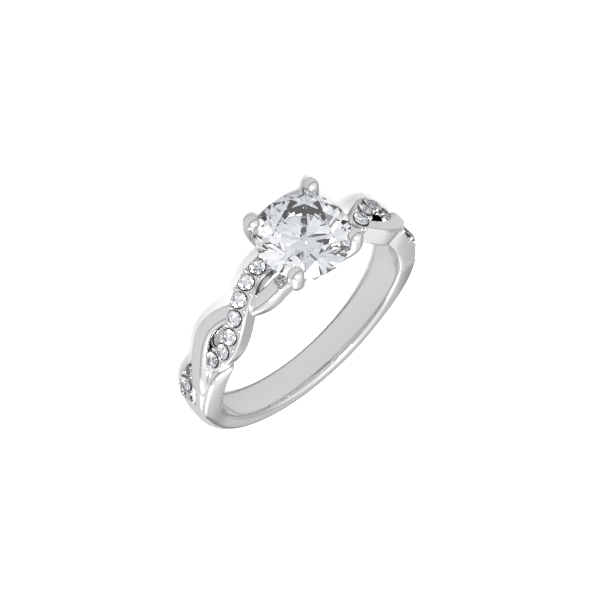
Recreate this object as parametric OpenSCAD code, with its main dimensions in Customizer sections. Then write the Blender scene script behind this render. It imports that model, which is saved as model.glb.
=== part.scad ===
// Twisted shank ring: a polished lower band that splits on each side into
// two strands, one plain and one paved, which twist up to a four-claw head
// holding a round brilliant.
//
// Frame: the origin is the centre of the finger hole. Before it is laid
// down the ring has its finger axis along Z, and its stone faces -Y.
// The shank is drawn at stations around the finger hole. A station is the
// angle from the stone: 0 under the stone, 90 at the side, 180 opposite.
// One side of the ring is drawn at +X, and the other is the same side
// turned half a turn about the stone's axis.

/* [Finger hole] */
// Inner diameter of the ring
finger_d = 16.5; // [14:0.1:22]

/* [Lower band] */
// Width of the band along the finger
band_w = 2.6; // [2:0.1:3.2]
// Thickness of the band from the finger hole to its crest
band_t = 1.75; // [1.4:0.05:2.4]
// Width of the flat track inside the band, opposite the stone
track_w = 1.15; // [0.8:0.05:1.6]

/* [Twisted strands] */
// Width of the plain rounded strand
plain_w = 1.2; // [0.9:0.05:1.5]
// Width of the paved strand
paved_w = 1.45; // [1:0.05:1.8]
// How far a strand's middle swings from the middle of the twist
swing = 1; // [0.8:0.05:1.3]
// Sideways place of the whole twist against the middle of the band
twist_shift = -0.2; // [-0.3:0.05:0.3]
// Height of a strand's crest over the finger hole, where two lie level
strand_t = 1.75; // [1.4:0.05:2.2]
// How much a strand rises to cross over the other and dips to cross under
lift = 0.3; // [0.1:0.05:0.4]
// Station where the strands first lie furthest apart, in degrees
first_swing = 18; // [14:0.5:24]
// Degrees of the shank from one widest place to the next
swing_step = 31; // [26:0.5:34]

/* [Centre stone] */
// Diameter of the round brilliant
stone_d = 6.5; // [5:0.1:8]
// Height of the stone's lower point over the finger hole
point_h = 1.1; // [1:0.05:2.5]

/* [Head] */
// Diameter of a claw
claw_d = 1.15; // [0.8:0.05:1.3]
// How far a claw's tip stands over the girdle
claw_h = 1.35; // [1:0.05:1.6]
// Turn of the head from square, in degrees
head_turn = -3.5; // [-8:0.5:8]
// Gap between the stone and its seat
seat_gap = 0.04; // [0.02:0.01:0.1]

/* [Hidden] */

finger_r = finger_d / 2;
stone_r = stone_d / 2;
claw_r = claw_d / 2;

// Stations of the twist: where the paved strand crosses over, where the
// strands last lie apart, and where they have become the band
over_at = first_swing + swing_step / 2;
last_swing = first_swing + 2 * swing_step;
merge_end = 106;
// Station nearest the head, and where the strands leave it
head_end = 4;
head_leave = 12;
head_clear = 30;
// Degrees between the sections of the twist and of the band
twist_step = 3.7;
band_step = 8;
// Edges of a section: two of each strand and two of the band. Between two
// of them there are so many steps, and a point lies a share beside its edge.
edge_count = 6;
between = 4;
edge_step = 0.02;
// Least distance between two neighbouring points of a section
apart = 0.002;
// Powers of the round forms: 2 is an ellipse, more is squarer
band_power = 2.3;
plain_power = 3.5;
paved_power = 5;
// Height over the finger hole of the form around the exact track
inner_step = 0.1;
// Thickness of the exact track, which lies inside that form
exact_t = 0.45;
// Thickness of the metal between the strands
web_t = 0.6;
// Shares of the band's thickness where it is widest and where its inner
// rounding ends
side_share = 0.5;
round_share = 0.8;
// How much wider the track is at the side than opposite the stone
track_spread = 0.8;
// Width of the web outside the track
web_edge = 0.1;
// The band's shoulder on the plain strand's side reaches further up the
// side than on the other, where the paved strand ends in the band.
// Stations where each side starts to rise and is whole
plain_rise = [50, 74];
paved_rise = [82, 104];
// How much wider the shoulders are than the band opposite the stone, and
// the station where they have become as narrow
shoulder_w = 0.2;
shoulder_end = 120;
// Drop of the strands' crests under the head and inside the band
head_dip = 0.35;
merge_dip = 0.3;
// How much further out the paved strand swings under the head, how much
// less the plain one does, and how much less both do where they lie apart last
paved_wide = 0.15;
plain_near = 0.22;
last_near = 0.4;
// The paved strand's wall is thicker on one side than on the other by this
paved_off = 0.1;
// Share of the band's width that the strands' middles keep inside it
merge_share = 0.2;
// Depth of the rounded edge of the paved strand
paved_edge = 0.3;

// Proportions of a round brilliant, as shares of its diameter or angles
table_share = 0.56;
girdle_share = 0.03;
crown_angle = 34.5;
pavilion_angle = 40.8;
star_share = 0.5;
lower_half_share = 0.22;
stone_sides = 8;
facet_step = 360 / stone_sides;
// Radius at the corners of the girdle, whose sides lie at the stone's radius
corner_r = stone_r / cos(facet_step / 4);
// Heights here are over the middle of the girdle
half_girdle = stone_d * girdle_share / 2;
culet_h = -half_girdle - corner_r * tan(pavilion_angle);
// Distance of the girdle from the centre of the finger hole
girdle_y = finger_r + point_h - culet_h;
// Corners of the table, and points of the star facets between them
table_r = stone_r * table_share;
table_h = half_girdle + (corner_r - table_r) * tan(crown_angle);
star_r = table_r * cos(facet_step / 2) * (1 - star_share) + corner_r * star_share;
star_h = half_girdle + (corner_r - star_r * cos(facet_step / 2)) * tan(crown_angle);

// Base ring of the head, as heights over the finger hole and radii
base_low = 0.2;
base_high = 1.75;
base_outer = 1.3;
base_inner = 0.9;
// A claw's foot: its distance from the stone's axis and its height over
// the finger hole. The claw leans out from there and stands up at the girdle.
claw_foot_x = 1.3;
claw_foot_h = 1.7;
claw_power = 1.3;
// Share of a claw's radius by which its middle lies outside the girdle
claw_out = 0.35;
claw_steps = 7;
claw_sides = 14;
// Share of a claw's line over which its slope is measured
slope_step = 0.01;

// The lowest point of the girdle and of the lower band both touch the
// surface that the ring lies on. A line through them gives the tilt.
band_side_r = finger_r + band_t * side_share;
rest_tilt = atan2(stone_r - band_w / 2, girdle_y + band_side_r);

// Smooth step from 0 at lo to 1 at hi
function ease(x, lo, hi) = let (u = min(1, max(0, (x - lo) / (hi - lo)))) u * u * (3 - 2 * u);
// How far the strands have merged into the band at a station
function merged(s) = ease(s, last_swing - 2, merge_end);
// Sideways wave of the twist: 1 where the strands lie furthest apart
function twist_wave(s) = s < last_swing ? cos(180 * max(0, s - first_swing) / swing_step) : 1;
// Distance of a strand's middle from the middle of the twist: side is 1 for
// the plain strand and -1 for the paved one
function swing_at(s, side) =
    let (wider = (side > 0 ? -plain_near : paved_wide) * (1 - ease(s, head_leave, head_clear)),
        nearer = last_near * ease(s, last_swing - swing_step, last_swing))
    merge_share * band_w * merged(s) + (1 - merged(s)) * swing * (1 + wider - nearer);
// Sideways place of a strand's middle in the twist
function strand_z(s, side) = side * swing_at(s, side) * twist_wave(s) + (side > 0 ? 0 : paved_off * (1 - merged(s)));
// Share of the lift at a station: 1 where the paved strand crosses over
function lift_wave(s) = cos(180 * (s - over_at) / swing_step)
    * ease(s, first_swing, over_at) * (1 - ease(s, last_swing - swing_step / 4, last_swing + swing_step / 3));
// Height of a strand's crest over the finger hole
function crest_h(s, side) = strand_t - head_dip * (1 - ease(s, head_end, first_swing)) - merge_dip * merged(s)
    - side * lift * lift_wave(s);
// Half width of a strand cut square to the station, where it may slant
function strand_half(s, side) =
    let (run = finger_r * 2 * PI / 180, rise = strand_z(s + 1, side) - strand_z(s - 1, side))
    (side > 0 ? plain_w : paved_w) / 2 * sqrt(1 + pow(rise / run, 2));
// Point of the shank at a station, a sideways place and a height
function at_station(s, z, h) = [(finger_r + h) * sin(s), -(finger_r + h) * cos(s), z];
// Crest over a half width, for a place given as a share of that half width
function crest(place, power) = pow(max(0, 1 - pow(abs(place), power)), 1 / power);

// Height of one strand at a station and a sideways place, 0 beside it
function strand_h(s, z, side) =
    let (place = (z - strand_z(s, side)) / strand_half(s, side), depth = side > 0 ? plain_w / 2 : paved_edge)
    abs(place) > 1 ? 0 : crest_h(s, side) - depth * (1 - crest(place, side > 0 ? plain_power : paved_power));

// How far the band has risen out of the web at a station, on the side of
// z where the plain strand or the paved strand ends
function risen(s, z) = z > 0 ? ease(s, plain_rise[0], plain_rise[1]) : ease(s, paved_rise[0], paved_rise[1]);
// Half width of the flat track, which spreads toward the strands
function track_half(s) = track_w / 2 * (1 + track_spread * min(1, pow((180 - s) / 90, 2)));
// Half width and crest of the band at a station, and its domed height
function band_half(s, z) = (track_half(s) + web_edge) * (1 - risen(s, z))
    + (band_w / 2 + shoulder_w * (1 - ease(s, last_swing, shoulder_end))) * risen(s, z);
function band_crest(s, z) = web_t * (1 - risen(s, z)) + band_t * risen(s, z);
function band_h(s, z) =
    let (place = z / band_half(s, z))
    abs(place) > 1 ? 0 : band_crest(s, z) * (side_share + (1 - side_share) * crest(place, band_power));
// Height of the shank: whatever stands highest there. Drift is the
// sideways place of the twist at the station.
function shank_h(s, z, drift) = max(web_t * side_share, band_h(s, z),
    strand_h(s, z - drift, 1), strand_h(s, z - drift, -1));

// Sideways places of the edges of the strands and the band, in order
function rank(list, value, i) = len([for (k = [0:len(list) - 1])
    if (list[k] > value || (list[k] == value && k < i)) 1]);
function ordered(list) = [for (n = [0:len(list) - 1]) each
    [for (i = [0:len(list) - 1]) if (rank(list, list[i], i) == n) list[i]]];
function edges(s, drift) = ordered([for (e = [-1, 1]) each [
    drift + strand_z(s, 1) + e * strand_half(s, 1),
    drift + strand_z(s, -1) + e * strand_half(s, -1),
    e * band_half(s, e)
]]);

// Section of the shank: its outer line between each pair of edges, and
// its rounded inner edges beside the flat track. The twist lies off the
// middle by shift.
function shank_ring(s, shift) =
    let (drift = shift * (1 - merged(s)), edge = edges(s, drift), high = edge[0],
        low = edge[edge_count - 1], flat = track_half(s), middle = (edge_count - 1) * between / 2,
        low_rise = shank_h(s, low + edge_step, drift) * round_share - inner_step,
        high_rise = shank_h(s, high - edge_step, drift) * round_share - inner_step)
    concat(
        [for (i = [0:edge_count - 2], k = [0:between])
            let (u = k == 0 ? edge_step : (k == between ? 1 - edge_step : k / between),
                z = edge[i] * (1 - u) + edge[i + 1] * u)
            at_station(s, z - (i * between + k - middle) * apart, shank_h(s, z, drift))],
        [for (i = [2:-1:1]) let (a = 30 * i)
            at_station(s, -flat + (low + flat) * sin(a), inner_step + low_rise * (1 - cos(a)))],
        [at_station(s, -flat, inner_step), at_station(s, flat, inner_step)],
        [for (i = [1:2]) let (a = 30 * i)
            at_station(s, flat + (high - flat) * sin(a), inner_step + high_rise * (1 - cos(a)))]
    );
// The same section on the other side of the ring, half a turn about Y.
// Its points are listed so that each follows its neighbour round the ring.
function other_ring(s, shift) =
    let (ring = [for (p = shank_ring(s, -shift)) [-p[0], p[1], -p[2]]], count = len(ring),
        turn = (edge_count - 1) * (between + 1) - 1)
    [for (i = [0:count - 1]) ring[(turn - i + count) % count]];

// Sweep through rings of equally many points, as a closed loop or capped
module sweep(rings, closed = false) {
    count = len(rings);
    sides = len(rings[0]);
    last = (count - 1) * sides;
    walls = [for (i = [0:count - (closed ? 1 : 2)], j = [0:sides - 1])
        let (k = (i + 1) % count, m = (j + 1) % sides)
        [i * sides + j, k * sides + j, k * sides + m, i * sides + m]];
    caps = closed ? [] : [[for (j = [0:sides - 1]) j], [for (j = [sides - 1:-1:0]) last + j]];
    polyhedron(points = [for (ring = rings) each ring], faces = concat(walls, caps), convexity = 8);
}

module shank() {
    stations = concat([for (s = [head_end:twist_step:merge_end]) s],
        [for (s = [merge_end + band_step / 2:band_step:180 - band_step / 4]) s]);
    count = len(stations);
    sweep(concat(
        [for (s = stations) shank_ring(s, twist_shift)],
        [for (i = [count - 1:-1:0]) other_ring(stations[i], twist_shift)]
    ), closed = true);
}

// Outline of the stone turned about its axis, grown by the seat gap. Each
// corner moves so far that the slopes beside it lie a full gap away.
module seat_cutter() {
    rotate_extrude($fn = 60)
        polygon([
            [0, culet_h - seat_gap * 1.5],
            [corner_r + seat_gap, -half_girdle - seat_gap * 0.5],
            [corner_r + seat_gap, half_girdle + seat_gap * 0.5],
            [star_r + seat_gap * 0.7, star_h + seat_gap * 0.8],
            [table_r + seat_gap, table_h + seat_gap],
            [0, table_h + seat_gap]
        ]);
}

module base_ring() {
    translate([0, 0, finger_r + base_low])
        difference() {
            cylinder(r = base_outer, h = base_high - base_low, $fn = 48);
            translate([0, 0, -1])
                cylinder(r = base_inner, h = base_high - base_low + 2, $fn = 48);
        }
}

// A claw's middle line, as distance from the stone's axis and height: it
// leans out from its foot, stands up at the girdle and ends under its tip
function claw_line(u) =
    let (x = stone_r + claw_r * claw_out, foot_y = finger_r + claw_foot_h)
    [claw_foot_x + (x - claw_foot_x) * pow(sin(90 * u), claw_power),
        foot_y + (girdle_y - foot_y) * (1 - pow(cos(90 * u), claw_power))];
// Ring of a claw around a point of that line, square to the line there
function claw_ring(at, slope, r) = [for (j = [0:claw_sides - 1]) let (a = 360 * j / claw_sides)
    [at[0] + r * cos(a) * cos(slope), r * sin(a), at[1] - r * cos(a) * sin(slope)]];

module claw() {
    top = claw_line(1);
    tip_y = girdle_y + claw_h - claw_r;
    sweep(concat(
        [for (i = [0:claw_steps - 1]) let (u = i / claw_steps, rise = claw_line(u + slope_step) - claw_line(u))
            claw_ring(claw_line(u), 90 - atan2(rise[1], rise[0]), claw_r)],
        [claw_ring(top, 0, claw_r)],
        [for (a = [0:20:80]) claw_ring([top[0], tip_y + claw_r * sin(a)], 0, claw_r * cos(a))]
    ));
}

// The head stands up along Z here, and is turned to face -Y
module face_out() {
    rotate([90, 0, 0])
        rotate([0, 0, head_turn])
            children();
}

module head() {
    face_out() {
        base_ring();
        for (i = [0:3])
            rotate([0, 0, 45 + 90 * i])
                claw();
    }
}

// True round wall of the finger hole
module finger_track() {
    rotate_extrude($fn = 180)
        translate([finger_r, -track_w / 2])
            square([exact_t, track_w]);
}

// The strands, the band and the head are soldered into one solid, and the
// stone's seat is cut into the claws and under the stone's point
module ring_mount() {
    color("lightgray")
        rotate([-rest_tilt, 0, 0])
            difference() {
                union() {
                    shank();
                    finger_track();
                    head();
                }
                face_out()
                    translate([0, 0, girdle_y])
                        seat_cutter();
            }
}

// Point of the stone at a radius, so many facets round, and a height
function at_turn(r, turns, h) = [r * cos(facet_step * turns), r * sin(facet_step * turns), h];
// Corners of a round brilliant, whose facets are the hull's flat faces
function stone_corners() =
    let (low_r = corner_r * lower_half_share,
        low_h = -half_girdle - (corner_r - low_r * cos(facet_step / 2)) * tan(pavilion_angle))
    concat(
        [for (i = [0:stone_sides - 1]) at_turn(table_r, i, table_h)],
        [for (i = [0:stone_sides - 1]) at_turn(star_r, i + 0.5, star_h)],
        [for (i = [0:2 * stone_sides - 1], h = [half_girdle, -half_girdle]) at_turn(corner_r, i / 2, h)],
        [for (i = [0:stone_sides - 1]) at_turn(low_r, i + 0.5, low_h)],
        [[0, 0, culet_h]]
    );

module brilliant() {
    corners = stone_corners();
    count = len(corners);
    hull()
        polyhedron(points = corners, faces = [for (i = [0:count - 3]) [i, i + 1, i + 2]]);
}

// The stone keeps a flat of its girdle toward the surface that it lies on
module centre_stone() {
    color("aliceblue")
        rotate([-rest_tilt, 0, 0])
            face_out()
                translate([0, 0, girdle_y])
                    rotate([0, 0, 90 / stone_sides - head_turn])
                        brilliant();
}

ring_mount();
centre_stone();
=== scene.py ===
"""Looks of the twisted shank ring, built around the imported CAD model.

The ring is drawn upright in millimetres: the origin is the centre of the
finger hole, the finger axis runs along Z and the stone faces -Y. A station
is the angle around the finger hole from the stone. The half at +X is drawn,
and the other half is the same turned half a turn about the stone's axis.
laid() then tilts the points to where the ring rests and turns them into
metres.
"""
import math

import bmesh
import bpy
import numpy as np
from mathutils import Matrix, Vector


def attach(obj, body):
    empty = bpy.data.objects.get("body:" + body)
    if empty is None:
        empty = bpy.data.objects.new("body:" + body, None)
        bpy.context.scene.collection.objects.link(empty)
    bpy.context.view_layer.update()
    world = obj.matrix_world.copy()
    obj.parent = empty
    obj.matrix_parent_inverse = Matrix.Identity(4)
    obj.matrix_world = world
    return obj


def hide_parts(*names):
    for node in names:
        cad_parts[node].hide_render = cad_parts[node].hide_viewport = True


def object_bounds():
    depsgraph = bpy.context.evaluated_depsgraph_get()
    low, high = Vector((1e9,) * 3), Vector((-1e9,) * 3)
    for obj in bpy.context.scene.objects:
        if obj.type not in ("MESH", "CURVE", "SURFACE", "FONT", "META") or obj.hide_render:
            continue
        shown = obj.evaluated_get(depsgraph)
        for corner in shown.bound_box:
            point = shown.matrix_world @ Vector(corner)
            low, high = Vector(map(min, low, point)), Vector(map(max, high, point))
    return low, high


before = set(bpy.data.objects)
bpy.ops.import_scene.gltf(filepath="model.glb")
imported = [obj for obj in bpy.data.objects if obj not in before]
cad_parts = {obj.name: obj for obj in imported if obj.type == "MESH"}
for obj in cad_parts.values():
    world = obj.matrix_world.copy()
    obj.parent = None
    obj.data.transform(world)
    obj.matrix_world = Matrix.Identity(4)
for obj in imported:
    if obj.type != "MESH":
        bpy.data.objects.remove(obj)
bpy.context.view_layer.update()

MM = 0.001

# Sizes in millimetres and stations in degrees, as in the CAD model
FINGER_R = 8.25
BAND_W = 2.6
BAND_T = 1.75
TRACK_W = 1.15
TRACK_SPREAD = 0.8
PLAIN_W = 1.2
SWING = 1.0
TWIST_SHIFT = -0.2
STRAND_T = 1.75
LIFT = 0.3
FIRST_SWING = 18
SWING_STEP = 31
OVER_AT = FIRST_SWING + SWING_STEP / 2
LAST_SWING = FIRST_SWING + 2 * SWING_STEP
MERGE_START = LAST_SWING - 2
MERGE_END = 106
MERGE_SHARE = 0.2
MERGE_DIP = 0.3
HEAD_END = 4
HEAD_DIP = 0.35
HEAD_SPAN = (12, 30)
PLAIN_NEAR = 0.22
PAVED_WIDE = 0.15
LAST_NEAR = 0.4
STONE_R = 3.25
POINT_H = 1.1
CROWN, PAVILION = 34.5, 40.8
GIRDLE_SHARE = 0.03
HALF_FACET = 11.25
STONE_H = POINT_H + STONE_R * (
    GIRDLE_SHARE + math.tan(math.radians(PAVILION)) / math.cos(math.radians(HALF_FACET)))
CLAW_R = 0.575
CLAW_H = 1.35
CLAW_OUT = 0.35
CLAW_FOOT = (1.3, 1.7)
CLAW_POWER = 1.3
HEAD_TURN = -3.5
GIRDLE_Y = FINGER_R + STONE_H
TILT = math.atan2(STONE_R - BAND_W / 2, GIRDLE_Y + FINGER_R + BAND_T / 2)

# Angle in degrees over which an edge between two faces stays sharp
SHARP = 35


# Paths of the strands, as in the CAD model, but the paved one's is that of
# its stones. Its body lies about 0.1 mm to one side, through its section.

def ease(x, lo, hi):
    u = np.clip((np.asarray(x, float) - lo) / (hi - lo), 0, 1)
    return u * u * (3 - 2 * u)


def merged(s):
    return ease(s, MERGE_START, MERGE_END)


def strand_z(s, side, half):
    """Sideways place of a strand: side 1 is the plain one, -1 the paved."""
    wave = np.where(s < LAST_SWING, np.cos(np.pi * np.maximum(0, s - FIRST_SWING) / SWING_STEP), 1)
    wider = (-PLAIN_NEAR if side > 0 else PAVED_WIDE) * (1 - ease(s, *HEAD_SPAN))
    nearer = LAST_NEAR * ease(s, LAST_SWING - SWING_STEP, LAST_SWING)
    reach = MERGE_SHARE * BAND_W * merged(s) + (1 - merged(s)) * SWING * (1 + wider - nearer)
    return side * reach * wave + half * TWIST_SHIFT * (1 - merged(s))


def crest_h(s, side):
    """Height of a strand's crest over the finger hole."""
    wave = np.cos(np.pi * (s - OVER_AT) / SWING_STEP) * ease(s, FIRST_SWING, OVER_AT) \
        * (1 - ease(s, LAST_SWING - SWING_STEP / 4, LAST_SWING + SWING_STEP / 3))
    dips = HEAD_DIP * (1 - ease(s, HEAD_END, FIRST_SWING)), MERGE_DIP * merged(s)
    return STRAND_T - dips[0] - dips[1] - side * LIFT * wave


def at_station(s, z, h):
    a = np.radians(s)
    return np.stack(np.broadcast_arrays((FINGER_R + h) * np.sin(a), -(FINGER_R + h) * np.cos(a), z), -1)


def turned(points, half):
    """The points of the drawn half, or half a turn about the stone's axis."""
    return np.asarray(points) * np.array([half, 1, half])


def laid(points):
    p = np.asarray(points, float).reshape(-1, 3)
    c, s = math.cos(TILT), math.sin(TILT)
    return np.stack([p[:, 0], p[:, 1] * c + p[:, 2] * s, -p[:, 1] * s + p[:, 2] * c], -1) * MM


# Meshes

def new_object(name, points, faces, material, sharp):
    """Object from upright points in millimetres. With no sharp angle its facets are flat."""
    mesh = bpy.data.meshes.new(name)
    mesh.from_pydata([tuple(p) for p in laid(points)], [], [tuple(map(int, f)) for f in faces])
    mesh.validate()
    if sharp:
        mesh.shade_smooth()
        mesh.set_sharp_from_angle(angle=math.radians(sharp))
    mesh.materials.append(material)
    obj = bpy.data.objects.new(name, mesh)
    bpy.context.scene.collection.objects.link(obj)
    return obj


def sweep(rings, closed=False):
    """Faces through rings of equally many points, as a loop or with capped ends."""
    rings = np.asarray(rings)
    count, sides = rings.shape[:2]
    faces = []
    for i in range(count if closed else count - 1):
        k = (i + 1) % count
        for j in range(sides):
            m = (j + 1) % sides
            faces.append((i * sides + j, k * sides + j, k * sides + m, i * sides + m))
    if not closed:
        faces.append(list(range(sides))[::-1])
        faces.append([(count - 1) * sides + j for j in range(sides)])
    return rings.reshape(-1, 3), faces


def joined(name, parts, material, sharp=SHARP):
    """One object of several (points, faces) pairs."""
    points, faces, base = [], [], 0
    for part_points, part_faces in parts:
        points.append(np.asarray(part_points, float).reshape(-1, 3))
        faces += [[base + i for i in f] for f in part_faces]
        base += len(points[-1])
    obj = new_object(name, np.concatenate(points), faces, material, sharp)
    outward(obj)
    return obj


def outward(obj):
    """Turns every face of a closed mesh to look outward."""
    bm = bmesh.new()
    bm.from_mesh(obj.data)
    bmesh.ops.recalc_face_normals(bm, faces=bm.faces)
    bm.to_mesh(obj.data)
    bm.free()


def strand_frame(s, side, half, height):
    """Points along a strand at a height, and its outward and sideways directions."""
    z = strand_z(s, side, half)
    line = at_station(s, z, height)
    tangent = np.gradient(line, s, axis=0)
    tangent /= np.linalg.norm(tangent, axis=1)[:, None]
    a = np.radians(s)
    out = np.stack([np.sin(a), -np.cos(a), np.zeros_like(a)], -1)
    out -= (out * tangent).sum(1)[:, None] * tangent
    out /= np.linalg.norm(out, axis=1)[:, None]
    across = np.cross(tangent, out)
    across *= np.sign(across[:, 2:3])
    return line, out, across


def tube(s, side, half, outline):
    """Rings of a strand. outline(s) gives (across, height over the finger hole) pairs."""
    crest = crest_h(s, side)
    line, out, across = strand_frame(s, side, half, crest / 2)
    rings = []
    for i, station in enumerate(s):
        pairs = outline(station, crest[i])
        rings.append([line[i] + across[i] * w + out[i] * (h - crest[i] / 2) for w, h in pairs])
    return turned(rings, half)


# Materials

def nodes_of(material):
    material.use_nodes = True
    tree = material.node_tree
    return tree, tree.nodes, tree.links, tree.nodes["Principled BSDF"]


def noise(tree, scale, detail):
    place = tree.nodes.new("ShaderNodeTexCoord")
    grain = tree.nodes.new("ShaderNodeTexNoise")
    grain.inputs["Scale"].default_value = scale
    grain.inputs["Detail"].default_value = detail
    tree.links.new(place.outputs["Object"], grain.inputs["Vector"])
    return grain


def ranged(tree, source, lo, hi):
    span = tree.nodes.new("ShaderNodeMapRange")
    span.inputs["To Min"].default_value = lo
    span.inputs["To Max"].default_value = hi
    tree.links.new(source, span.inputs["Value"])
    return span.outputs["Result"]


def tinted(tree, source, colours):
    """Two colours mixed by a noise."""
    tint = tree.nodes.new("ShaderNodeValToRGB")
    for element, colour in zip(tint.color_ramp.elements, colours):
        element.color = tuple(colour) + (1,)
    tree.links.new(source, tint.inputs["Fac"])
    return tint.outputs["Color"]


METAL_CLOUD = 450
METAL_DULLER = 0.975
METAL_GRAIN = 9000
GRAIN_SHARE = 0.02
GRAIN_DEPTH = 0.00001
STONE_CLOUD = 300
DIAMOND_IOR = 2.417


def metal_material(name, colour, rough):
    """Polished metal: white gold, or a darker copy of it as painted shade. Faint polishing grain in its gloss,
    colour and surface.
    """
    material = bpy.data.materials.new(name)
    tree, nodes, links, shader = nodes_of(material)
    shader.inputs["Metallic"].default_value = 1
    cloud = noise(tree, METAL_CLOUD, 4).outputs["Fac"]
    links.new(ranged(tree, cloud, rough[0], rough[1]), shader.inputs["Roughness"])
    colours = [[c * share for c in colour] for share in (METAL_DULLER, 1.0)]
    links.new(tinted(tree, cloud, colours), shader.inputs["Base Color"])
    fine = noise(tree, METAL_GRAIN, 2)
    bump = nodes.new("ShaderNodeBump")
    bump.inputs["Strength"].default_value = GRAIN_SHARE
    bump.inputs["Distance"].default_value = GRAIN_DEPTH
    links.new(fine.outputs["Fac"], bump.inputs["Height"])
    links.new(bump.outputs["Normal"], shader.inputs["Normal"])
    return material


def diamond_material(name, dark, light):
    """Clear stone with a breath of cloud in its colour."""
    material = bpy.data.materials.new(name)
    tree, _, links, shader = nodes_of(material)
    shader.inputs["Roughness"].default_value = 0
    shader.inputs["IOR"].default_value = DIAMOND_IOR
    shader.inputs["Transmission Weight"].default_value = 1
    cloud = noise(tree, STONE_CLOUD, 2).outputs["Fac"]
    links.new(tinted(tree, cloud, (dark, light)), shader.inputs["Base Color"])
    return material


METAL = metal_material("white_gold", (0.90, 0.90, 0.905), (0.03, 0.06))
# Darker, rougher metal for the seats' walls: painted shade in the recesses round the small stones
SEAT_PAINTED_SHADE = metal_material("seat_painted_shade", (0.42, 0.42, 0.43), (0.3, 0.45))
DIAMOND = diamond_material("diamond", (0.985, 0.99, 1.0), (1.0, 1.0, 1.0))
PAVE = diamond_material("pave_diamond", (0.985, 0.988, 1.0), (1.0, 1.0, 1.0))


# Lower band with its shoulders, and the web between the strands. A pair of
# stations is where a change starts and where it ends.

RIM_AT = (91.2, 92.4)
RIM_STATIONS = np.arange(90.5, 93.5, 0.25)
DOME_POWER, DOME_SIDE = 2.2, 0.45
SQUARER_POWER, SQUARER_SIDE = 1.6, 0.2
SQUARER_FADES = (104, 136)
BAND_RISE = (76, 98)
RISE_ACROSS = (0.0, 0.7)
SHOULDER_W = 0.2
SHOULDER_FROM, SHOULDER_END = 50, 120
SHOULDER_RISE = (56, 69)
SHOULDER_LOW, SHOULDER_GAIN = 0.3, 1.33
SHOULDER_SINK, SHOULDER_SUNK = (92, 112), 0.25
SHOULDER_INSIDE = 0.4
SHOULDER_REACH, REACH_GROWS = 1.5, (90, 104)
SHOULDER_POWER, SHOULDER_SIDE = 2.3, 0.4
MERGING_FROM = 66
MERGING_RISE, MERGING_LOW = (66, 77), 0.25
MERGING_SINK, MERGING_SUNK = (96, 112), 0.2
MERGING_POWER, MERGING_SIDE = 2.4, 0.35
BLEND, BLEND_GAIN, BLEND_GROWS = 0.16, 0.36, (66, 90)
WEB_TRACK = 0.35
WEB_T = 0.35
WEB_EDGE = 0.1
WEB_OPENS = (56, 76)
PLAIN_RISE = (52, 60)
PAVED_RISE = (72, RIM_AT[1])
ROUND_SHARE = 0.8
ROUND_POWER = 0.55
INNER_STEP, STEP_FADES = 0.12, (72, 90)
BAND_POINTS = 61
BAND_SHARP = 50


def smooth_max(a, b, k):
    near = np.maximum(k - np.abs(a - b), 0) / k
    return np.maximum(a, b) + near * near * k / 4


def ridge(z, middle, half_width, crest, power, side_share):
    """Domed height across a ridge, 0 beside it. Its sides start at a share of its crest."""
    place = np.clip(np.abs(z - middle) / half_width, 0, 1)
    dome = (1 - place ** power) ** (1 / power)
    return np.where(place < 1, crest * (side_share + (1 - side_share) * dome), 0)


def band_wide(s):
    return BAND_W / 2 + SHOULDER_W * (1 - float(ease(s, LAST_SWING, SHOULDER_END)))


def band_edges(s):
    """Half widths of the track, and of the band on the plain side and the paved side."""
    track = TRACK_W / 2 * (1 + TRACK_SPREAD * min(1, ((180 - s) / 90) ** 2))
    track = WEB_TRACK + (track - WEB_TRACK) * float(ease(s, *WEB_OPENS))
    web = track + WEB_EDGE
    plain = web + (band_wide(s) - web) * ease(s, *PLAIN_RISE)
    paved = web + (band_wide(s) - web) * ease(s, *PAVED_RISE)
    return track, plain, paved


def band_dome(s, z):
    """Height of the band alone, which is squarer on the paved side near the strands."""
    square = 1 - float(ease(s, *SQUARER_FADES))
    wide = band_wide(s)
    return np.where(
        z > 0, ridge(z, 0, wide, BAND_T, DOME_POWER, DOME_SIDE),
        ridge(z, 0, wide, BAND_T, DOME_POWER + SQUARER_POWER * square, DOME_SIDE + SQUARER_SIDE * square))


def band_shoulder(s, z, half, plain):
    """Height of the shoulder that rises between the plain strand and the band's edge."""
    inside = float(strand_z(s, 1, half)) + SHOULDER_INSIDE
    inside = inside + (plain - SHOULDER_REACH - inside) * float(ease(s, *REACH_GROWS))
    crest = SHOULDER_LOW + SHOULDER_GAIN * float(ease(s, *SHOULDER_RISE))
    shoulder = ridge(z, (plain + inside) / 2, (plain - inside) / 2, crest, SHOULDER_POWER, SHOULDER_SIDE)
    return shoulder * (1 - SHOULDER_SUNK * float(ease(s, *SHOULDER_SINK)))


def band_height(s, z, half):
    """Height of the band, its shoulder and the plain strand's end at a station."""
    plain = band_edges(s)[1]
    blend = BLEND + BLEND_GAIN * float(ease(s, *BLEND_GROWS))
    part = ease(z, *RISE_ACROSS)
    risen = (1 - part) * ease(s, *RIM_AT) + part * ease(s, *BAND_RISE)
    height = np.maximum(WEB_T, WEB_T + (band_dome(s, z) - WEB_T) * risen)
    if s > SHOULDER_FROM:
        height = smooth_max(height, band_shoulder(s, z, half, plain), blend)
    if s > MERGING_FROM:
        middle = float(strand_z(s, 1, half))
        sunk = MERGING_LOW * (1 - float(ease(s, *MERGING_RISE))) + MERGING_SUNK * float(ease(s, *MERGING_SINK))
        crest = float(crest_h(s, 1)) - sunk
        height = smooth_max(height, ridge(z, middle, PLAIN_W / 2, crest, MERGING_POWER, MERGING_SIDE), blend)
    return height


def inner_round(edge, edge_h, track, inner, arc):
    """Rounded corner from the flat track out to an edge of the band."""
    start = math.copysign(track, edge)
    rise = edge_h * ROUND_SHARE - inner
    return [(start + (edge - start) * math.sin(a) ** ROUND_POWER, inner + rise * (1 - math.cos(a)))
            for a in arc]


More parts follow.
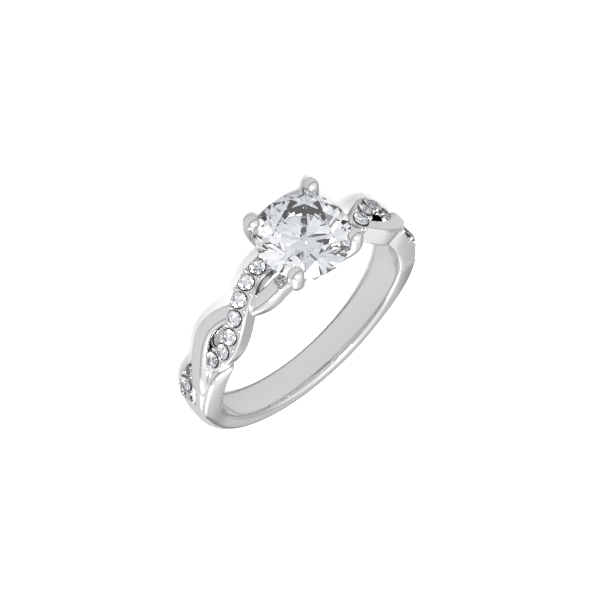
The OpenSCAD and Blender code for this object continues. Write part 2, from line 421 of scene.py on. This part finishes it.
def band_ring(station, across, arc):
    """Section of the band at a station, which is negative on the turned half."""
    s, half = abs(station), (1 if station > 0 else -1)
    track, plain, paved = band_edges(s)
    inner = INNER_STEP * (1 - float(ease(s, *STEP_FADES)))
    z = np.where(across > 0, across * plain, across * paved)
    h = band_height(s, z, half)
    flat = [(place, inner) for place in (-track, -track / 3, track / 3, track)]
    pairs = list(zip(z, h)) + inner_round(z[-1], h[-1], track, inner, arc[::-1]) + flat \
        + inner_round(z[0], h[0], track, inner, arc)
    ring = turned([at_station(s, w, up) for w, up in pairs], half)
    return np.roll(ring[::-1], len(z), axis=0) if half < 0 else ring


def band_mesh():
    """Closed sweep round the ring, with more stations at the rim of the paved recess."""
    turns = sorted(set(np.arange(1, 180, 1.0)) | set(RIM_STATIONS))
    stations = turns + [180.0] + [-s for s in turns[::-1]]
    across = np.cos(np.linspace(0, np.pi, BAND_POINTS))
    arc = np.radians(np.arange(HALF_FACET, 90, HALF_FACET))
    return sweep([band_ring(station, across, arc) for station in stations], closed=True)


# Strands, as bars with rounded corners

CORNER_STEPS = 8
CROWN_DROP = 0.03
STRAND_FLOOR = 0.03
STRAND_START = -1.5
PLAIN_END = 86.1
PLAIN_STEP = 0.75
PLAIN_RIGHT, PLAIN_LEFT = 0.63, 0.61
PLAIN_RADII = (0.42, 0.2, 0.4, 0.6)
PLAIN_SINK, PLAIN_SINKS = 0.2, (72, 86)
PLAIN_SINK_DOWN = 0.8
PAVED_END = 90.6
PAVED_STEP = 0.6
PAVED_BURIED = 5
PAVED_RIGHT, PAVED_LEFT = 0.85, 0.64
PAVED_RADII = (0.2, 0.14, 0.35, 0.75)
PAVED_WIDER, PAVED_WIDENS = 0.24, (76, 90)
PAVED_NARROWER, PAVED_NARROWS = 0.3, (91.5, 95)
PAVED_SINK = 0.5
PAVED_TIGHTER, PAVED_TIGHTENS = 0.4, (80, PAVED_END)


def bar(right, left, top, radii):
    """Section of a strand from top right round to lower right, with a slight crown.

    Right is the side of the drawn half that faces +Z.
    """
    tr, tl, bl, br = radii
    bottom = STRAND_FLOOR
    pairs = []
    for cx, cy, r, start in ((right - tr, top - tr, tr, 0), (-left + tl, top - tl, tl, 90),
                             (-left + bl, bottom + bl, bl, 180), (right - br, bottom + br, br, 270)):
        for i in range(CORNER_STEPS + 1):
            a = math.radians(start + 90 * i / CORNER_STEPS)
            pairs.append((cx + r * math.cos(a), cy + r * math.sin(a)))
        if start == 0:
            pairs += [(right - tr - (right + left - tr - tl) * k / 6, top) for k in range(1, 6)]
    middle, reach, waist = (right - left) / 2, (right + left) / 2, (top + bottom) / 2
    return [(w, h - CROWN_DROP * ((w - middle) / reach) ** 2 * (1 if h > waist else 0)) for w, h in pairs]


def plain_mesh(half):
    """The plain strand, which thins out into the band at its end."""
    def outline(station, crest):
        sink = PLAIN_SINK * float(ease(station, *PLAIN_SINKS))
        return bar(PLAIN_RIGHT - sink, PLAIN_LEFT - sink, crest - sink * PLAIN_SINK_DOWN, PLAIN_RADII)
    return sweep(tube(np.arange(STRAND_START, PLAIN_END, PLAIN_STEP), 1, half, outline))


def paved_mesh(half):
    """The paved strand, whose end widens to the band's side and dips into the band."""
    def outline(station, crest):
        wider = PAVED_WIDER * float(ease(station, *PAVED_WIDENS)) \
            - PAVED_NARROWER * float(ease(station, *PAVED_NARROWS))
        sink = PAVED_SINK * float(ease(station, PAVED_END, PAVED_END + PAVED_BURIED))
        low = 1 - PAVED_TIGHTER * float(ease(station, *PAVED_TIGHTENS))
        tr, tl, bl, br = PAVED_RADII
        return bar(PAVED_RIGHT, PAVED_LEFT + wider, crest - sink, (tr, tl, bl * low, br * low))
    stations = np.arange(STRAND_START, PAVED_END + PAVED_BURIED + 1, PAVED_STEP)
    return sweep(tube(stations, -1, half, outline))


# Seats, stones and beads of the paved strand

PAVE_R = 0.56
PAVE_RAISE = 0.09
PAVE_PITCH = 1.315
PAVE_FIRST = 16.8
PAVE_LAST = 88.5
PAVE_TURN = 0.2
PATH_STEP = 0.05
HIDDEN_WITHIN = 0.8
SEAT_PROFILE = ((0.3, -0.62), (0.5, -0.36), (0.64, -0.12), (0.64, 0.4))
SEAT_SIDES = 40
BEADS = ((-0.53, 0.15), (0.60, 0.13))
BEAD_SIDES = 16
BEAD_FLAT = 0.9
BEAD_ANGLES = np.radians(np.arange(-80, 81, 16))
BEAD_LIFT = 0.02
BEAD_ROOT = (0.8, -0.5)
BEAD_NEAR = 5


def paved_stations(half):
    """Stations of the small stones, a pitch apart along the strand's crest, and of the beads."""
    s = np.arange(0, 95, PATH_STEP)
    line = strand_frame(s, -1, half, crest_h(s, -1))[0]
    run = np.concatenate([[0], np.cumsum(np.linalg.norm(np.diff(line, axis=0), axis=1))])
    start = np.interp(PAVE_FIRST, s, run)
    count = int((np.interp(PAVE_LAST, s, run) - start) / PAVE_PITCH) + 1
    stones = np.interp(start + PAVE_PITCH * np.arange(count), run, s)
    between = np.interp(start + PAVE_PITCH * (np.arange(count + 1) - 0.5), run, s)
    return stones, between


def local_frames(s, half):
    """Point, outward and sideways direction on the paved strand's crest at each station."""
    fine = np.arange(-2, 96, PATH_STEP)
    line, out, across = [
        np.stack([np.interp(s, fine, v[:, k]) for k in range(3)], -1)
        for v in strand_frame(fine, -1, half, crest_h(fine, -1))]
    out /= np.linalg.norm(out, axis=1)[:, None]
    across -= (across * out).sum(1)[:, None] * out
    across /= np.linalg.norm(across, axis=1)[:, None]
    return line, out, across


def visible_stones(half):
    """Stations of the stones that the plain strand doesn't run over."""
    stones, _ = paved_stations(half)
    apart = np.abs(strand_z(stones, 1, half) - strand_z(stones, -1, half))
    under = (stones > LAST_SWING - SWING_STEP) & (apart < HIDDEN_WITHIN)
    return stones[~under]


def cone_at(centre, out, across, profile, sides):
    """Closed cone of (radius, height) pairs about an axis."""
    ahead = np.cross(out, across)
    rings = []
    for r, h in profile:
        rings.append([centre + out * h + r * (across * math.cos(a) + ahead * math.sin(a))
                      for a in np.linspace(0, 2 * np.pi, sides, endpoint=False)])
    return sweep(rings)


def seats(half):
    return [cone_at(turned(p, half), turned(o, half), turned(a, half), SEAT_PROFILE, SEAT_SIDES)
            for p, o, a in zip(*local_frames(visible_stones(half), half))]


def beads(half):
    """Bead prongs between the stones along both edges."""
    stones = visible_stones(half)
    near = [b for b in paved_stations(half)[1] if np.min(np.abs(stones - b)) < BEAD_NEAR]
    parts = []
    for p, o, a in zip(*local_frames(near, half)):
        for offset, r in BEADS:
            dome = [(r * math.cos(e), r * BEAD_FLAT * math.sin(e) + BEAD_LIFT) for e in BEAD_ANGLES]
            profile = [(r * BEAD_ROOT[0], BEAD_ROOT[1])] + [q for q in dome if q[1] > -BEAD_LIFT]
            centre = turned(p + a * offset, half)
            parts.append(cone_at(centre, turned(o, half), turned(a, half), profile, BEAD_SIDES))
    return parts


# Round brilliants. The table, half the girdle's height and the place of the
# lower halves' ends are shares of the radius. Crown and pavilion are angles
# in degrees, and sides are those of the blank.

CENTRE_CUT = {"table": 0.56, "crown": CROWN, "pavilion": PAVILION,
              "girdle": GIRDLE_SHARE, "low": 0.22, "sides": 64}
PAVE_CUT = {"table": 0.55, "crown": 34, "pavilion": 41, "girdle": 0.035, "low": 0.25, "sides": 32}
CENTRE_TURN = 2
# Distances as shares of the radius, and the most degrees between faces that are one
ON_PLANE, WELD, FLAT_WITHIN = 1e-6, 1e-4, 0.3


def brilliant_planes(r, sizes):
    """(point, normal) of each facet plane of a round brilliant of that radius."""
    step = math.radians(45)
    crown, pavilion = math.radians(sizes["crown"]), math.radians(sizes["pavilion"])
    girdle = r * sizes["girdle"]
    table_r = r * sizes["table"]
    table_h = girdle + (r - table_r) * math.tan(crown)
    star_r = table_r * math.cos(step / 2) * 0.5 + r * 0.5
    star_h = girdle + (r - star_r * math.cos(step / 2)) * math.tan(crown)
    low_r = r * sizes["low"]
    low_h = -girdle - (r - low_r * math.cos(step / 2)) * math.tan(pavilion)

    def at(radius, turns, height):
        return Vector((radius * math.cos(step * turns), radius * math.sin(step * turns), height))

    def leaning(turns, angle, up):
        return Vector((math.sin(angle) * math.cos(step * turns), math.sin(angle) * math.sin(step * turns),
                       up * math.cos(angle)))
    planes = [(Vector((0, 0, table_h)), Vector((0, 0, 1)))]
    for i in range(8):
        triangles = []
        for j in (i - 0.5, i + 0.5):
            triangles.append((at(star_r, j, star_h), at(r, j, girdle), at(r, i, girdle)))
            triangles.append((at(low_r, j, low_h), at(r, j, -girdle), at(r, i, -girdle)))
        triangles.append((at(table_r, i, table_h), at(table_r, i + 1, table_h), at(star_r, i + 0.5, star_h)))
        planes += [(a, (b - a).cross(c - a)) for a, b, c in triangles]
        planes.append((at(r, i, girdle), leaning(i, crown, 1)))
        planes.append((at(r, i, -girdle), leaning(i, pavilion, -1)))
    return [(p, n if n.dot(p) > 0 else -n) for p, n in planes]


def brilliant(r, sizes, turn):
    """Points and faces of a brilliant about the origin: axis +Z, table up."""
    bm = bmesh.new()
    bmesh.ops.create_cone(bm, cap_ends=True, segments=sizes["sides"], radius1=r, radius2=r, depth=4 * r)
    for point, normal in brilliant_planes(r, sizes):
        geom = bm.verts[:] + bm.edges[:] + bm.faces[:]
        ground = bmesh.ops.bisect_plane(
            bm, geom=geom, dist=r * ON_PLANE, plane_co=point, plane_no=normal, clear_outer=True)
        rim = [e for e in ground["geom_cut"] if isinstance(e, bmesh.types.BMEdge)]
        if rim:
            bmesh.ops.holes_fill(bm, edges=rim)
    bmesh.ops.remove_doubles(bm, verts=bm.verts, dist=r * WELD)
    bmesh.ops.dissolve_limit(bm, angle_limit=math.radians(FLAT_WITHIN), verts=bm.verts, edges=bm.edges)
    bmesh.ops.recalc_face_normals(bm, faces=bm.faces)
    spin = Matrix.Rotation(turn, 3, "Z")
    bm.verts.index_update()
    points = [tuple(spin @ v.co) for v in bm.verts]
    faces = [[v.index for v in f.verts] for f in bm.faces]
    bm.free()
    return np.array(points), faces


def placed(shape, centre, out, across):
    points, faces = shape
    ahead = np.cross(out, across)
    return centre + points[:, 0:1] * across + points[:, 1:2] * ahead + points[:, 2:3] * out, faces


def pave_stones(half):
    shape = brilliant(PAVE_R, PAVE_CUT, PAVE_TURN)
    return [placed(shape, turned(p + o * PAVE_RAISE, half), turned(o, half), turned(a, half))
            for p, o, a in zip(*local_frames(visible_stones(half), half))]


# Head. It stands up along Z here, and face_out() turns it to face -Y.

CLAW_STEPS = 24
CLAW_LAST = 0.97
SLOPE_STEP = 0.01
CLAW_SIDES = 28
TIP_ANGLES = np.radians(np.arange(0, 88, 8))
BASE_PROFILE = ((1.2, 0.2), (1.25, 0.35), (1.25, 1.6), (1.15, 1.75),
                (0.95, 1.75), (0.9, 1.7), (0.9, 0.3), (0.95, 0.2))
BASE_SIDES = 48
SEAT_R = STONE_R + 0.03
CUTTER_PROFILE = ((0.02, -3.0), (SEAT_R, -0.15), (SEAT_R, 0.15), (2.55, 0.85), (1.9, 1.2), (0.02, 1.25))
# An odd count and a small turn keep the cutter's edges off the claws' edges
CUTTER_SIDES = 97
CUTTER_TURN = 0.0137


def face_out(points):
    p = np.asarray(points, float).reshape(-1, 3)
    t = math.radians(HEAD_TURN)
    x, y = p[:, 0] * math.cos(t) - p[:, 1] * math.sin(t), p[:, 0] * math.sin(t) + p[:, 1] * math.cos(t)
    return np.stack([x, -p[:, 2], y], -1)


def claw_line(u):
    """Middle line of a claw, as distance from the stone's axis and height."""
    x, foot = STONE_R + CLAW_R * CLAW_OUT, FINGER_R + CLAW_FOOT[1]
    return (CLAW_FOOT[0] + (x - CLAW_FOOT[0]) * math.sin(math.pi / 2 * u) ** CLAW_POWER,
            foot + (GIRDLE_Y - foot) * (1 - math.cos(math.pi / 2 * u) ** CLAW_POWER))


def claw_mesh(turn):
    """A claw that leans out from its foot, stands up at the girdle and ends in a dome."""
    tip = GIRDLE_Y + CLAW_H - CLAW_R
    spots = []
    for u in np.linspace(0, CLAW_LAST, CLAW_STEPS):
        a, b = claw_line(u), claw_line(u + SLOPE_STEP)
        spots.append((a, math.atan2(b[0] - a[0], b[1] - a[1]), CLAW_R))
    top = claw_line(1)
    spots.append((top, 0, CLAW_R))
    spots += [((top[0], tip + CLAW_R * math.sin(a)), 0, CLAW_R * math.cos(a)) for a in TIP_ANGLES]
    c, s = math.cos(math.radians(turn)), math.sin(math.radians(turn))
    rings = []
    for (x, h), lean, r in spots:
        ring = []
        for a in np.linspace(0, 2 * np.pi, CLAW_SIDES, endpoint=False):
            px = x + r * math.cos(a) * math.cos(lean)
            py, pz = r * math.sin(a), h - r * math.cos(a) * math.sin(lean)
            ring.append((px * c - py * s, px * s + py * c, pz))
        rings.append(ring)
    points, faces = sweep(rings)
    return face_out(points), faces


def lathe(profile, height, sides, start=0.0):
    """A ring of the (radius, height) profile at each of the turns about the stone's axis."""
    return [[(r * math.cos(a), r * math.sin(a), height + h) for r, h in profile]
            for a in start + np.linspace(0, 2 * np.pi, sides, endpoint=False)]


def base_mesh():
    points, faces = sweep(lathe(BASE_PROFILE, FINGER_R, BASE_SIDES), closed=True)
    return face_out(points), faces


def seat_cutter():
    rings = np.asarray(lathe(CUTTER_PROFILE, GIRDLE_Y, CUTTER_SIDES, CUTTER_TURN))
    points, faces = sweep(np.swapaxes(rings, 0, 1))
    return face_out(points), faces


def cut(obj, cutter):
    """Cuts one mesh by another and drops the cutter, whose material stays on the cut faces."""
    step = obj.modifiers.new("cut", "BOOLEAN")
    step.operation = "DIFFERENCE"
    step.solver = "EXACT"
    step.use_self = True
    step.material_mode = "TRANSFER"
    step.object = cutter
    graph = bpy.context.evaluated_depsgraph_get()
    mesh = bpy.data.meshes.new_from_object(obj.evaluated_get(graph))
    obj.modifiers.clear()
    old = obj.data
    obj.data = mesh
    mesh.name = old.name
    bpy.data.meshes.remove(old)
    bpy.data.objects.remove(cutter)
    mesh.shade_smooth()
    mesh.set_sharp_from_angle(angle=math.radians(SHARP))


# Pieces

metal = [joined("lower_band", [band_mesh()], METAL, BAND_SHARP)]
for half, word in ((1, "left"), (-1, "right")):
    metal.append(joined("plain_strand_" + word, [plain_mesh(half)], METAL))
    paved = joined("paved_strand_" + word, [paved_mesh(half)], METAL)
    # The seat cutters leave the darker metal on the cut faces: painted shade round each small stone
    cut(paved, joined("seats", seats(half), SEAT_PAINTED_SHADE))
    metal.append(paved)
    metal.append(joined("beads_" + word, beads(half), METAL))
metal.append(joined("base_ring", [base_mesh()], METAL))
for i, word in enumerate(("a", "b", "c", "d")):
    claw = joined("claw_" + word, [claw_mesh(45 + 90 * i)], METAL)
    cut(claw, joined("seat", [seat_cutter()], METAL))
    metal.append(claw)

points, faces = brilliant(STONE_R, CENTRE_CUT, math.radians(CENTRE_TURN - HEAD_TURN))
stone = joined("centre_brilliant", [(face_out(points + np.array([0, 0, GIRDLE_Y])), faces)], DIAMOND, None)
small = [joined("pave_" + word, pave_stones(half), PAVE, None) for half, word in ((1, "left"), (-1, "right"))]

for piece in metal:
    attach(piece, "root")
    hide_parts("ring_mount")
for piece in [stone] + small:
    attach(piece, "root")
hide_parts("centre_stone")


# Camera at the photo's angle. Its turn, drop and roll are in radians.

CAMERA_FAR = 160
CAMERA_TURN, CAMERA_DROP, CAMERA_ROLL = 0.731, 1.087, 0.028
PIXELS_PER_MM = 13.999
FRAME_PX = 600
SHIFT_PX = (-0.87, 21.67)


def add_camera():
    view = Vector((math.cos(CAMERA_DROP) * math.sin(CAMERA_TURN), -math.sin(CAMERA_DROP),
                   math.cos(CAMERA_DROP) * math.cos(CAMERA_TURN)))
    level = Vector((0, -1, 0)).cross(view).normalized()
    rise = view.cross(level)
    right = level * math.cos(CAMERA_ROLL) + rise * math.sin(CAMERA_ROLL)
    up = rise * math.cos(CAMERA_ROLL) - level * math.sin(CAMERA_ROLL)
    lay = Matrix.Rotation(-TILT, 3, "X")
    turn = Matrix([lay @ right, lay @ up, lay @ view]).transposed()
    camera = bpy.data.objects.new("camera", bpy.data.cameras.new("camera"))
    camera.matrix_world = Matrix.Translation(lay @ view * CAMERA_FAR * MM) @ turn.to_4x4()
    camera.data.sensor_width = 36
    camera.data.lens = PIXELS_PER_MM * CAMERA_FAR / FRAME_PX * camera.data.sensor_width
    camera.data.shift_x = SHIFT_PX[0] / FRAME_PX
    camera.data.shift_y = SHIFT_PX[1] / FRAME_PX
    camera.data.clip_start = 0.005
    camera.data.clip_end = 20
    bpy.context.scene.collection.objects.link(camera)
    bpy.context.scene.camera = camera


add_camera()


# Studio. A card is a round patch of the surroundings: the direction to it,
# its radius and soft edge in degrees, and its colour.

LOW_TONE, HIGH_TONE = (0.50, 0.505, 0.515), (0.92, 0.92, 0.92)
TONE_RISE = (0.0, 0.9)
HORIZON_TONE = (0.12, 0.12, 0.125)
HORIZON_SHARE = 0.6
HORIZON_BELOW, HORIZON_ABOVE = (-0.10, -0.02), (0.22, 0.10)
STONE_LOW, STONE_HIGH = (0.66, 0.69, 0.74), (1.15, 1.17, 1.2)
STONE_RISE = (-0.2, 0.8)
CARDS = [
    ((0.2, -0.4, 1.0), 10, 18, (1.25, 1.25, 1.25)),
    ((-1.0, 0.6, 0.6), 22, 20, (0.5, 0.5, 0.51)),
    ((0.8, 0.9, 0.4), 20, 16, (1.2, 1.2, 1.2)),
]
STONE_CARDS = [
    ((0.31, -0.885, 0.346), 4, 2, (0.03, 0.03, 0.04)),
    ((0.75, -0.9, 0.1), 5, 1, (0.04, 0.04, 0.05)),
    ((-0.15, -1.0, 0.75), 5, 1, (0.04, 0.04, 0.05)),
    ((-0.75, -1.0, 0.3), 7, 2, (0.16, 0.17, 0.20)),
    ((0.9, -0.5, 0.3), 7, 2, (0.04, 0.04, 0.06)),
    ((0.5, -0.2, 0.9), 6, 2, (0.30, 0.28, 0.18)),
    ((-0.3, -0.9, -0.3), 8, 2, (0.10, 0.10, 0.12)),
    ((0.4, -0.9, -0.35), 7, 2, (0.05, 0.05, 0.06)),
    ((-0.6, -0.8, 0.9), 5, 2, (0.05, 0.05, 0.06)),
    ((-0.9, -0.4, 0.5), 7, 2, (0.05, 0.05, 0.06)),
    ((0.1, -0.3, 1.0), 6, 2, (2.2, 2.2, 2.2)),
    ((0.6, -1.0, 0.9), 5, 2, (2.0, 2.0, 2.0)),
]


def product(tree, *values):
    node = tree.nodes.new("ShaderNodeMath")
    node.operation = "MULTIPLY"
    for slot_in, value in zip(node.inputs, values):
        if isinstance(value, (int, float)):
            slot_in.default_value = value
        else:
            tree.links.new(value, slot_in)
    return node.outputs[0]


def toward(tree, direction, target):
    """Cosine of the angle between the looked-at direction and a target."""
    node = tree.nodes.new("ShaderNodeVectorMath")
    node.operation = "DOT_PRODUCT"
    node.inputs[1].default_value = Vector(target).normalized()
    tree.links.new(direction, node.inputs[0])
    return node.outputs["Value"]


def step_up(tree, value, lo, hi):
    """Smooth step from 0 at lo to 1 at hi."""
    node = tree.nodes.new("ShaderNodeMapRange")
    node.interpolation_type = "SMOOTHSTEP"
    for name, number in (("From Min", lo), ("From Max", hi), ("To Min", 0), ("To Max", 1)):
        node.inputs[name].default_value = number
    tree.links.new(value, node.inputs["Value"])
    return node.outputs["Result"]


def mixed(tree, share, a, b):
    """Mix of two colours. Inputs 6 and 7 of the node are its colour sockets."""
    node = tree.nodes.new("ShaderNodeMix")
    node.data_type = "RGBA"
    for slot_in, value in ((node.inputs[0], share), (node.inputs[6], a), (node.inputs[7], b)):
        if isinstance(value, tuple):
            slot_in.default_value = value + (1,)
        else:
            tree.links.new(value, slot_in)
    return node.outputs[2]


def with_cards(tree, direction, colour, cards):
    for target, size, edge, shade in cards:
        spot = step_up(tree, toward(tree, direction, target),
                       math.cos(math.radians(size + edge)), math.cos(math.radians(size)))
        colour = mixed(tree, spot, colour, shade)
    return colour


def studio(world):
    """Soft surroundings: white to the camera, graded with a darker horizon in the metal, and
    brighter with small dark cards through the stones."""
    world.use_nodes = True
    tree = world.node_tree
    back = tree.nodes["Background"]
    direction = tree.nodes.new("ShaderNodeTexCoord").outputs["Generated"]
    split = tree.nodes.new("ShaderNodeSeparateXYZ")
    tree.links.new(direction, split.inputs[0])
    height = split.outputs["Z"]
    path = tree.nodes.new("ShaderNodeLightPath")
    around = mixed(tree, step_up(tree, height, *TONE_RISE), LOW_TONE, HIGH_TONE)
    horizon = product(tree, step_up(tree, height, *HORIZON_BELOW), step_up(tree, height, *HORIZON_ABOVE))
    around = mixed(tree, product(tree, horizon, HORIZON_SHARE), around, HORIZON_TONE)
    around = with_cards(tree, direction, around, CARDS)
    inside = mixed(tree, step_up(tree, height, *STONE_RISE), STONE_LOW, STONE_HIGH)
    inside = with_cards(tree, direction, inside, STONE_CARDS)
    colour = mixed(tree, path.outputs["Is Transmission Ray"], around, inside)
    colour = mixed(tree, path.outputs["Is Camera Ray"], colour, (1.0, 1.0, 1.0))
    tree.links.new(colour, back.inputs["Color"])
    back.inputs["Strength"].default_value = 1.0


bpy.context.scene.world = bpy.data.worlds.new("studio")
studio(bpy.context.scene.world)


# Floor and lamp

FLOOR_HALF = 0.6
FLOOR_REFLECTED, FLOOR_THROUGH, FLOOR_SEEN = (0.58,) * 3, (0.1,) * 3, (1.6,) * 3
KEY_PLACE = (0.12, -0.18, 0.22)
KEY_SIZE = 0.10
KEY_POWER = 0.5


def add_floor():
    """Pale floor, which fades to white for the camera and glows evenly through the stones."""
    low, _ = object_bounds()
    mesh = bpy.data.meshes.new("floor")
    corners = [(x * FLOOR_HALF, y * FLOOR_HALF, low[2]) for x, y in ((-1, -1), (1, -1), (1, 1), (-1, 1))]
    mesh.from_pydata(corners, [], [(0, 1, 2, 3)])
    obj = bpy.data.objects.new("floor", mesh)
    bpy.context.scene.collection.objects.link(obj)
    material = bpy.data.materials.new("floor")
    tree, nodes, links, shader = nodes_of(material)
    path = nodes.new("ShaderNodeLightPath")
    tone = mixed(tree, path.outputs["Is Transmission Ray"], FLOOR_REFLECTED, FLOOR_THROUGH)
    tone = mixed(tree, path.outputs["Is Camera Ray"], tone, FLOOR_SEEN)
    links.new(tone, shader.inputs["Base Color"])
    shader.inputs["Emission Color"].default_value = STONE_LOW + (1,)
    links.new(path.outputs["Is Transmission Ray"], shader.inputs["Emission Strength"])
    shader.inputs["Roughness"].default_value = 1
    shader.inputs["Specular IOR Level"].default_value = 0
    mesh.materials.append(material)


def add_key():
    data = bpy.data.lights.new("key", "AREA")
    data.shape = "RECTANGLE"
    data.size, data.size_y = KEY_SIZE, KEY_SIZE
    data.energy = KEY_POWER
    lamp = bpy.data.objects.new("key", data)
    lamp.location = KEY_PLACE
    lamp.rotation_euler = (-Vector(KEY_PLACE)).to_track_quat("-Z", "Y").to_euler()
    bpy.context.scene.collection.objects.link(lamp)


add_floor()
add_key()
bpy.context.scene.view_settings.view_transform = "Standard"
bpy.context.scene.view_settings.look = "None"
